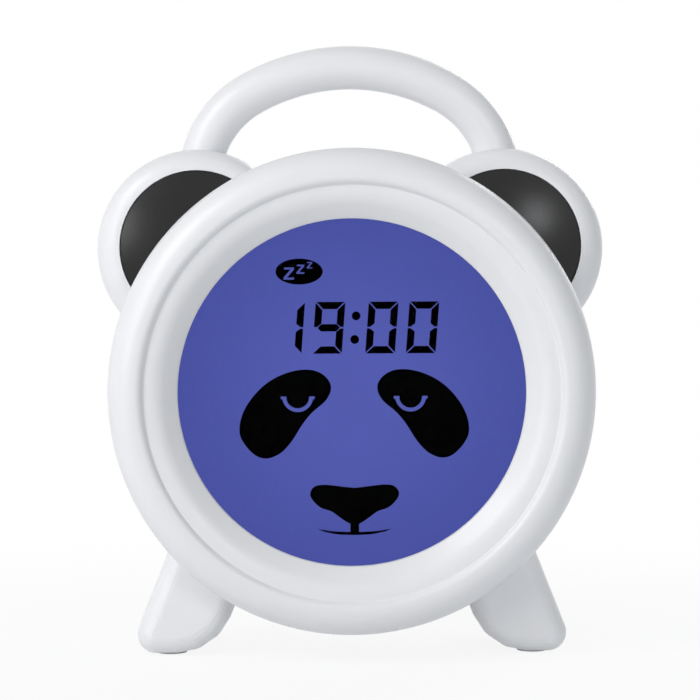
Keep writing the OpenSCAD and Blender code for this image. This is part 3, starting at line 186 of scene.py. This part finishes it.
# --- Front ring ------------------------------------------------------------------------------
# The thick rolled bezel: one turned shell of satin white ABS with a smooth outer roll, a soft
# crease and a funnel that leads down to the window. Six screws pull it to the housing.
def moulded_skin():
    """Colour, roughness and normal of a moulded plastic surface: faint clouding of the colour,
    uneven gloss and the tool's fine spark grain."""
    group = bpy.data.node_groups.new("moulded_skin", "ShaderNodeTree")
    face = group.interface
    face.new_socket("Color", in_out="INPUT", socket_type="NodeSocketColor")
    for name in ("Clouding", "Roughness", "Unevenness", "Grain Scale", "Grain Depth"):
        face.new_socket(name, in_out="INPUT", socket_type="NodeSocketFloat")
    face.new_socket("Color", in_out="OUTPUT", socket_type="NodeSocketColor")
    face.new_socket("Roughness", in_out="OUTPUT", socket_type="NodeSocketFloat")
    face.new_socket("Normal", in_out="OUTPUT", socket_type="NodeSocketVector")
    nodes = group.nodes
    links = group.links
    given = nodes.new("NodeGroupInput")
    out = nodes.new("NodeGroupOutput")
    place = nodes.new("ShaderNodeTexCoord")

    clouds = nodes.new("ShaderNodeTexNoise")
    clouds.inputs["Scale"].default_value = 55
    clouds.inputs["Detail"].default_value = 3
    links.new(place.outputs["Object"], clouds.inputs["Vector"])
    dimmed = reckon(group, "MULTIPLY", clouds.outputs["Fac"], given.outputs["Clouding"])
    tinted = nodes.new("ShaderNodeVectorMath")
    tinted.operation = "SCALE"
    links.new(given.outputs["Color"], tinted.inputs[0])
    links.new(reckon(group, "SUBTRACT", 1, dimmed), tinted.inputs["Scale"])
    links.new(tinted.outputs[0], out.inputs["Color"])

    smears = nodes.new("ShaderNodeTexNoise")
    smears.inputs["Scale"].default_value = 140
    smears.inputs["Detail"].default_value = 4
    smears.inputs["Distortion"].default_value = 0.6
    links.new(place.outputs["Object"], smears.inputs["Vector"])
    centred = reckon(group, "SUBTRACT", smears.outputs["Fac"], 0.5)
    uneven = reckon(
        group, "MULTIPLY_ADD", centred, given.outputs["Unevenness"], given.outputs["Roughness"]
    )
    uneven.node.use_clamp = True
    links.new(uneven, out.inputs["Roughness"])

    grain = nodes.new("ShaderNodeTexNoise")
    grain.inputs["Detail"].default_value = 2
    links.new(place.outputs["Object"], grain.inputs["Vector"])
    links.new(given.outputs["Grain Scale"], grain.inputs["Scale"])
    depth = reckon(group, "MULTIPLY", grain.outputs["Fac"], given.outputs["Grain Depth"])
    bump = nodes.new("ShaderNodeBump")
    bump.inputs["Strength"].default_value = 1
    bump.inputs["Distance"].default_value = 1
    links.new(depth, bump.inputs["Height"])
    links.new(bump.outputs["Normal"], out.inputs["Normal"])
    return group


skin_group = moulded_skin()


def plastic(name, color, roughness, clouding=0.03, unevenness=0.12, grain=2400, depth=0.000004):
    """A finish on the moulded skin: grain is its specks to a metre, depth their height."""
    material, nodes, links, shader = new_material(name)
    skin = nodes.new("ShaderNodeGroup")
    skin.node_tree = skin_group
    skin.inputs["Color"].default_value = (*color, 1)
    skin.inputs["Clouding"].default_value = clouding
    skin.inputs["Roughness"].default_value = roughness
    skin.inputs["Unevenness"].default_value = unevenness
    skin.inputs["Grain Scale"].default_value = grain
    skin.inputs["Grain Depth"].default_value = depth
    links.new(skin.outputs["Color"], shader.inputs["Base Color"])
    links.new(skin.outputs["Roughness"], shader.inputs["Roughness"])
    links.new(skin.outputs["Normal"], shader.inputs["Normal"])
    return material


def socket(material, name, value):
    material.node_tree.nodes["Principled BSDF"].inputs[name].default_value = value


def line_to(bm, start, x, y, z=0.0):
    end = bm.verts.new((x, y, z))
    bm.edges.new((start, end))
    return end


def arc_from(bm, start, about, degrees, steps):
    """Runs an arc of edges on from a vertex, at its height, and returns its last vertex."""
    turned = bmesh.ops.spin(
        bm, geom=[start], cent=about, axis=(0, 0, 1), angle=math.radians(degrees), steps=steps
    )
    return next(v for v in turned["geom_last"] if isinstance(v, bmesh.types.BMVert))


def turn_about_depth(bm, steps, middle):
    """Turns an outline drawn in X and Y a full round about the depth, centred on middle."""
    bmesh.ops.spin(
        bm, geom=bm.verts[:] + bm.edges[:], cent=(0, 0, 0), axis=(0, 1, 0),
        angle=math.tau, steps=steps, use_merge=True,
    )
    bmesh.ops.remove_doubles(bm, verts=bm.verts, dist=1e-7)
    bmesh.ops.translate(bm, verts=bm.verts, vec=(middle.x, 0, middle.z))


def finish_piece(name, bm, material, sharp, body="clock"):
    """Makes a bmesh an object that moves with a body, its edges smooth up to a sharp angle."""
    bmesh.ops.recalc_face_normals(bm, faces=bm.faces)
    limit = math.radians(sharp)
    for face in bm.faces:
        face.smooth = True
    for edge in bm.edges:
        edge.smooth = edge.calc_face_angle(0) < limit
    mesh = bpy.data.meshes.new(name)
    bm.to_mesh(mesh)
    bm.free()
    mesh.materials.append(material)
    piece = bpy.data.objects.new(name, mesh)
    bpy.context.scene.collection.objects.link(piece)
    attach(piece, body)
    return piece


shell_white = plastic("shell_white", (0.85, 0.855, 0.872), 0.36)
roll = 7.5 * MM
crease_roll = 2.1 * MM
inner_roll = 8 * MM
funnel_slope = 35
lip = 1.2 * MM
window_r = 45.6 * MM
lens_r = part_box("lens")[1].x
lens_room = 0.2 * MM
seam = -ring_high.y
window_f = -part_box("lens")[0].y + lip
crest_r = body_r - roll
crease_r = crest_r - crease_roll
crease_fillet = 0.45 * MM
inner_setback = 1.4 * MM
inner_inset = 0.7 * MM
edge_break = 0.3 * MM
window_edge = ((0.35, 0.25), (0.08, 0.02), (0, -0.15))

# The crease is a fillet that touches both the crest's small roll and the funnel's inner roll. Its
# centre lies at the sum of the two radii from the centre of each.
small_c = Vector((crest_r, -(front - crease_roll), 0))
inner_c = Vector((crease_r - inner_inset, -(front - inner_setback - inner_roll), 0))
between = small_c - inner_c
reach_inner = inner_roll + crease_fillet
reach_small = crease_roll + crease_fillet
along = (reach_inner**2 - reach_small**2 + between.length_squared) / (2 * between.length)
aside = math.sqrt(reach_inner**2 - along**2)
way = between.normalized()
fillet_c = inner_c + way * along + Vector((way.y, -way.x, 0)) * aside
forward = Vector((0, -1, 0))
small_turn = math.degrees(forward.angle(fillet_c - small_c))
inner_start = math.degrees(forward.angle(fillet_c - inner_c))

bm = bmesh.new()
first = bm.verts.new((body_r - edge_break, -seam, 0))
v = line_to(bm, first, body_r, -seam - edge_break)
v = line_to(bm, v, body_r, -(front - roll))
v = arc_from(bm, v, (crest_r, -(front - roll), 0), -90, 20)
v = arc_from(bm, v, small_c, -small_turn, 9)
v = arc_from(bm, v, fillet_c, small_turn + inner_start, 8)
v = arc_from(bm, v, inner_c, -(inner_start + funnel_slope), 14)
for outwards, forwards in window_edge:
    v = line_to(bm, v, window_r + outwards * MM, -window_f - forwards * MM)
v = line_to(bm, v, window_r, -window_f + lip)
v = line_to(bm, v, lens_r + lens_room, -window_f + lip)
v = line_to(bm, v, lens_r + lens_room, -seam)
bm.edges.new((v, first))
turn_about_depth(bm, 192, centre)
ring = finish_piece("front_ring_shell", bm, shell_white, sharp=30)
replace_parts(ring, "front_ring")


# --- Housing and feet ------------------------------------------------------------------------
# Two deep shells of the same white ABS, split round the drum and the ears, with the posts, the
# battery bay and the grille moulded in. Four long screws hold them together. The two feet are
# hollow mouldings of their own, screwed on from inside.
def dress(material, *names):
    for name in names:
        slots = cad_node[name].data.materials
        slots.clear()
        slots.append(material)


dress(shell_white, "front_housing", "rear_housing", "left_foot", "right_foot")


# --- Handle ----------------------------------------------------------------------------------
# A three-centred arch in two half tubes of white ABS, whose legs are clamped in the ears. The
# seam between the halves runs round the sides of the bar.
bar_low, bar_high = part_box("handle_front")
bar_r = -bar_low.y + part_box("handle_front")[1].y
leg_x = bar_high.x - bar_r
side_bend = 27 * MM
shoulder_up = 55.14 * MM
shoulder_z = centre.z + shoulder_up
rise = bar_high.z - bar_r - shoulder_z
half_span = leg_x - side_bend
top_bend = (half_span**2 + rise**2 - side_bend**2) / (2 * (rise - side_bend))
top_angle = math.degrees(math.atan2(half_span, top_bend - rise))
bar_wall = 2 * MM
bar_y = bar_high.y
seam_half = 0.04 * MM
seam_break = 0.12 * MM


def handle_half(name, way):
    """way is -1 for the front half and 1 for the rear one."""
    bm = bmesh.new()
    seam_y = bar_y + way * seam_half
    broken_y = seam_y + way * seam_break
    z = bar_low.z
    first = bm.verts.new((leg_x + bar_r - seam_break, seam_y, z))
    v = line_to(bm, first, leg_x + bar_r, broken_y, z)
    v = arc_from(bm, v, (leg_x, broken_y, z), way * 180, 24)
    v = line_to(bm, v, leg_x - bar_r + seam_break, seam_y, z)
    v = line_to(bm, v, leg_x - bar_r + bar_wall, seam_y, z)
    v = arc_from(bm, v, (leg_x, seam_y, z), -way * 180, 16)
    bm.edges.new((v, first))
    section = bm.verts[:] + bm.edges[:]
    straight = Vector((0, 0, shoulder_z - bar_low.z))
    lifted = bmesh.ops.spin(
        bm, geom=section, cent=(0, 0, 0), axis=(0, 1, 0), dvec=straight, angle=0, steps=1
    )["geom_last"]
    bends = (
        ((half_span, 0, shoulder_z), 90 - top_angle, 18),
        ((0, 0, shoulder_z + rise - top_bend), 2 * top_angle, 40),
        ((-half_span, 0, shoulder_z), 90 - top_angle, 18),
    )
    for about, degrees, steps in bends:
        lifted = bmesh.ops.spin(
            bm, geom=lifted, cent=about, axis=(0, -1, 0), angle=math.radians(degrees), steps=steps
        )["geom_last"]
    bmesh.ops.spin(
        bm, geom=lifted, cent=(0, 0, 0), axis=(0, 1, 0), dvec=-straight, angle=0, steps=1
    )
    bmesh.ops.remove_doubles(bm, verts=bm.verts, dist=1e-7)
    bmesh.ops.holes_fill(bm, edges=bm.edges)
    return finish_piece(name, bm, shell_white, sharp=35)


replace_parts(handle_half("handle_front_shell", -1), "handle_front")
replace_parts(handle_half("handle_rear_shell", 1), "handle_rear")


# --- Ear inlays ------------------------------------------------------------------------------
# Domed plates of glossy black ABS, one in the front of each ear. A plate lies in a pocket of the
# housing, and the pin on its back goes through the pocket's floor.
inlay_black = plastic("inlay_black", (0.004, 0.004, 0.0045), 0.27, 0.1, 0.06, 1800, 0.000001)
socket(inlay_black, "Specular IOR Level", 0.36)
dress(inlay_black, "left_ear_inlay", "right_ear_inlay")


# --- Display ---------------------------------------------------------------------------------
# A clear lens on a foam ring, two sheets of glass with the black segments between them, and an
# opal sheet behind, which the lamps of the night light fill with violet light.
def clear_sheet(name, roughness, ior):
    material, nodes, links, shader = new_material(name)
    shader.inputs["Base Color"].default_value = (1, 1, 1, 1)
    shader.inputs["Transmission Weight"].default_value = 1
    shader.inputs["IOR"].default_value = ior
    skin = nodes.new("ShaderNodeGroup")
    skin.node_tree = skin_group
    skin.inputs["Roughness"].default_value = roughness
    skin.inputs["Unevenness"].default_value = 0.02
    links.new(skin.outputs["Roughness"], shader.inputs["Roughness"])
    return material


lens_clear = clear_sheet("lens_clear", 0.02, 1.05)
glass_clear = clear_sheet("glass_clear", 0.0, 1.02)
dress(lens_clear, "lens")
dress(glass_clear, "lcd_front_glass", "lcd_rear_glass")
segment_ink = plastic("segment_ink", (0.002, 0.002, 0.003), 0.6, 0.1, 0.1, 900, 0)
socket(segment_ink, "Specular IOR Level", 0.05)
dress(segment_ink, "lcd_segments")

glow_in_middle = (0.084, 0.102, 0.402, 1)
glow_at_edge = (0.064, 0.08, 0.337, 1)
opal_glow, nodes, links, shader = new_material("opal_glow")
shader.inputs["Base Color"].default_value = (0.03, 0.03, 0.05, 1)
shader.inputs["Roughness"].default_value = 0.6
shader.inputs["Specular IOR Level"].default_value = 0.1
shader.inputs["Emission Strength"].default_value = 1
spot = nodes.new("ShaderNodeTexCoord")
from_middle = nodes.new("ShaderNodeMapping")
from_middle.inputs["Location"].default_value = (0, 0, -centre.z)
links.new(spot.outputs["Object"], from_middle.inputs["Vector"])
flat = nodes.new("ShaderNodeVectorMath")
flat.operation = "MULTIPLY"
flat.inputs[1].default_value = (1, 0, 1)
links.new(from_middle.outputs["Vector"], flat.inputs[0])
radius = nodes.new("ShaderNodeVectorMath")
radius.operation = "LENGTH"
links.new(flat.outputs[0], radius.inputs[0])
fall_off = nodes.new("ShaderNodeValToRGB")
fall_off.color_ramp.elements[0].color = glow_in_middle
fall_off.color_ramp.elements[1].color = glow_at_edge
reach = nodes.new("ShaderNodeMapRange")
reach.inputs["From Min"].default_value = 0.3 * window_r
reach.inputs["From Max"].default_value = window_r
links.new(radius.outputs["Value"], reach.inputs["Value"])
links.new(reach.outputs["Result"], fall_off.inputs["Fac"])
mottle = nodes.new("ShaderNodeTexNoise")
mottle.inputs["Scale"].default_value = 60
links.new(from_middle.outputs["Vector"], mottle.inputs["Vector"])
mottle_range = nodes.new("ShaderNodeMapRange")
mottle_range.inputs["To Min"].default_value = 0.97
mottle_range.inputs["To Max"].default_value = 1.03
links.new(mottle.outputs["Fac"], mottle_range.inputs["Value"])
glowing = nodes.new("ShaderNodeVectorMath")
glowing.operation = "SCALE"
links.new(fall_off.outputs["Color"], glowing.inputs[0])
links.new(mottle_range.outputs["Result"], glowing.inputs["Scale"])
links.new(glowing.outputs[0], shader.inputs["Emission Color"])
dress(opal_glow, "diffuser")
foam = plastic("foam", (0.03, 0.03, 0.035), 0.9, 0.3, 0.05, 3500, 0.00004)
dress(foam, "lens_gasket")


# --- Light box -------------------------------------------------------------------------------
# A white ABS cup behind the display, whose rim frames the glasses. Three screws hold it to the
# front housing, and seventeen small lamps stand on the white board at its bottom.
box_white = plastic("box_white", (0.87, 0.87, 0.86), 0.55)
dress(box_white, "light_box", "light_board")
lamp_gel = plastic("lamp_gel", (0.85, 0.75, 0.4), 0.3, 0.1, 0.1, 1500, 0)
dress(lamp_gel, "night_light_leds")


# --- Electronics -----------------------------------------------------------------------------
# The main board hangs on four posts of the front half, the key board on three of the rear one.
# Green resist covers the boards; chips, sockets, ribbons and leads are soldered or plugged on.
board_green = plastic("board_green", (0.012, 0.075, 0.03), 0.35, 0.35, 0.15, 700, 0.00002)
dress(board_green, "main_board", "key_board")
chip_black = plastic("chip_black", (0.02, 0.02, 0.022), 0.5, 0.2, 0.2, 2600, 0.000012)
dress(chip_black, "main_board_parts", "tact_switches")
ribbon_amber = plastic("ribbon_amber", (0.45, 0.16, 0.03), 0.3, 0.15, 0.1, 500, 0.00001)
dress(ribbon_amber, "lcd_ribbon", "key_ribbon")
lead_red = plastic("lead_red", (0.4, 0.02, 0.015), 0.45, 0.1, 0.1, 1500, 0.00001)
dress(lead_red, "light_leads", "speaker_leads", "battery_leads")


# --- Screws, springs and sockets -------------------------------------------------------------
# Zinc-plated pan-head screws, contacts of spring steel, and the pressed steel shells of the
# switch, the socket and the speaker. The battery door's screw turns into a brass nut.
zinc = plastic("zinc", (0.55, 0.55, 0.54), 0.3, 0.15, 0.25, 1800, 0.000006)
socket(zinc, "Metallic", 1)
dress(
    zinc, "ring_screws", "light_box_screws", "housing_screws", "main_board_screws",
    "key_board_screws", "speaker_screws", "battery_door_screw", "foot_screws", "contact_springs",
    "contact_plates", "lock_switch", "usb_socket", "speaker_frame",
)
brass = plastic("brass", (0.6, 0.42, 0.15), 0.35, 0.15, 0.25, 1800, 0.000006)
socket(brass, "Metallic", 1)
dress(brass, "door_nut")


# --- Keys and lock knob ----------------------------------------------------------------------
# Five round caps of grey ABS with their signs sunk in, each over the cream plunger of its tact
# switch, and the ribbed knob that slides the lock switch.
key_grey = plastic("key_grey", (0.36, 0.38, 0.42), 0.42)
keys = ("light", "plus", "minus", "alarm", "clock")
dress(key_grey, *(f"{k}_key" for k in keys), "lock_knob")
plunger_cream = plastic("plunger_cream", (0.75, 0.7, 0.6), 0.4)
dress(plunger_cream, *(f"{k}_plunger" for k in keys))


# --- Speaker ---------------------------------------------------------------------------------
# A small driver with a black paper cone and a ferrite magnet. A cream plastic clamp with two
# screws presses it on a piece of dust cloth behind the grille.
cone_paper = plastic("cone_paper", (0.02, 0.02, 0.02), 0.85, 0.3, 0.1, 2200, 0.00003)
dress(cone_paper, "speaker_cone", "speaker_dust_cloth")
magnet_grey = plastic("magnet_grey", (0.07, 0.07, 0.075), 0.6, 0.3, 0.1, 1500, 0.00002)
dress(magnet_grey, "speaker_magnet")
clamp_cream = plastic("clamp_cream", (0.78, 0.75, 0.68), 0.5)
dress(clamp_cream, "speaker_clamp")


# --- Batteries and door ----------------------------------------------------------------------
# Three AA cells lie across the bay, the middle one the other way round: a green sleeve with a pale
# band at the plus end, and bare steel at both ends. The door hooks into the bay's lower wall and
# is screwed at its tab.
def stepped(tree, along, *steps):
    """A colour ramp without blends: each step is its start along the cell and its colour."""
    ramp = tree.nodes.new("ShaderNodeValToRGB")
    ramp.color_ramp.interpolation = "CONSTANT"
    elements = ramp.color_ramp.elements
    elements[0].color = (*steps[0][1], 1)
    elements[1].position, elements[1].color = steps[1][0], (*steps[1][1], 1)
    for start, color in steps[2:]:
        elements.new(start).color = (*color, 1)
    tree.links.new(along, ramp.inputs["Fac"])
    return ramp.outputs["Color"]


cells_low, cells_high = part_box("batteries")
cell_l = 50.5 * MM
cell_r = 7.25 * MM
steel_grey = (0.6, 0.6, 0.59)
cell_sleeve = plastic("cell_sleeve", steel_grey, 0.3, 0.1, 0.1, 800, 0)
tree = cell_sleeve.node_tree
cell_place = tree.nodes.new("ShaderNodeTexCoord")
axes = tree.nodes.new("ShaderNodeSeparateXYZ")
tree.links.new(cell_place.outputs["Object"], axes.inputs[0])
off_middle = reckon(tree, "SUBTRACT", axes.outputs["Z"], (cells_low.z + cells_high.z) / 2)
outer_row = reckon(tree, "GREATER_THAN", reckon(tree, "ABSOLUTE", off_middle), cell_r)
from_right = reckon(tree, "SUBTRACT", cells_high.x, axes.outputs["X"])
from_left = reckon(tree, "SUBTRACT", axes.outputs["X"], cells_low.x)
swap = reckon(tree, "SUBTRACT", from_right, from_left)
from_plus = reckon(tree, "MULTIPLY_ADD", outer_row, swap, from_left)
along_cell = reckon(tree, "DIVIDE", from_plus, cell_l)
tree.links.new(
    stepped(
        tree, along_cell, (0, steel_grey), (0.035, (0.75, 0.76, 0.74)), (0.25, (0.02, 0.17, 0.08)),
        (0.985, steel_grey),
    ),
    tree.nodes["Group"].inputs["Color"],
)
tree.links.new(
    stepped(tree, along_cell, (0, (1, 1, 1)), (0.035, (0, 0, 0)), (0.985, (1, 1, 1))),
    tree.nodes["Principled BSDF"].inputs["Metallic"],
)
dress(cell_sleeve, "batteries")
dress(shell_white, "battery_door")


# --- Foot pads -------------------------------------------------------------------------------
# Four discs of milky silicone rubber, two to a foot. They are glued into round recesses of the
# soles and stand half a millimetre out of them.
pad_silicone = plastic("pad_silicone", (0.62, 0.63, 0.65), 0.7, 0.12, 0.1, 1600, 0.00002)
dress(pad_silicone, "foot_pads")
